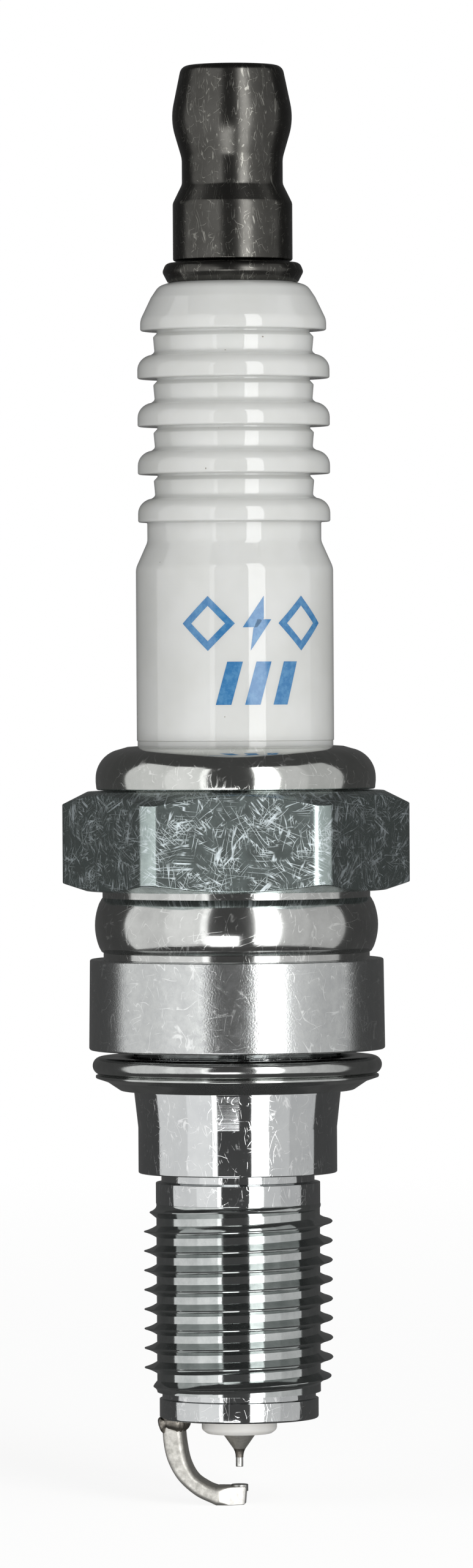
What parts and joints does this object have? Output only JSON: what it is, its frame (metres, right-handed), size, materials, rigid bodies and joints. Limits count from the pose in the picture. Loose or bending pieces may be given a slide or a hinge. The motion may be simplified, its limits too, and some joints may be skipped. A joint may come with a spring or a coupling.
{
  "type": "spark plug",
  "caption": "Motorcycle spark plug with a ribbed white insulator, screw-on terminal nut, hexagon shell, captive gasket, long threaded reach and fine-wire tip.",
  "frame": {"origin": "centre of the gasket's lowest face, which seats on the cylinder head", "axes": "+Z along the plug's axis towards the terminal; the ground electrode is welded on the -X side; a hexagon flat faces -Y"},
  "size_m": [0.0178, 0.016, 0.0741],
  "materials": {
    "black_steel": "satin",
    "plated_steel": "satin",
    "glazed_alumina": "gloss",
    "seal_glass": "satin",
    "resistor_block": "matte",
    "nickel_alloy": "satin",
    "copper": "satin",
    "weld_metal": "satin",
    "noble_metal": "satin",
    "zinc_steel": "gloss",
    "gasket_steel": "satin",
    "talc": "matte"
  },
  "bodies": {
    "plug": {"terminal_stud": "black_steel", "insulator": "glazed_alumina", "upper_glass_seal": "seal_glass", "resistor": "resistor_block", "lower_glass_seal": "seal_glass", "center_electrode": "nickel_alloy", "electrode_core": "copper", "tip_weld": "weld_metal", "fine_wire_tip": "noble_metal", "metal_shell": "zinc_steel", "lower_packing": "plated_steel", "lower_ring": "plated_steel", "talc_packing": "talc", "upper_ring": "plated_steel", "ground_electrode": "nickel_alloy", "ground_weld": "weld_metal", "ground_pad": "noble_metal"},
    "nut": {"terminal_nut": "black_steel"},
    "washer": {"gasket": "gasket_steel"}
  },
  "joints": [
    {"name": "terminal_nut_off", "type": "slide", "parent": "plug", "child": "nut", "axis": [0, 0, 1], "range_m": [0, 0.01]},
    {"name": "gasket_spin", "type": "hinge", "parent": "plug", "child": "washer", "pos_m": [0, 0, 0.001], "axis": [0, 0, 1], "continuous": true}
  ]
}
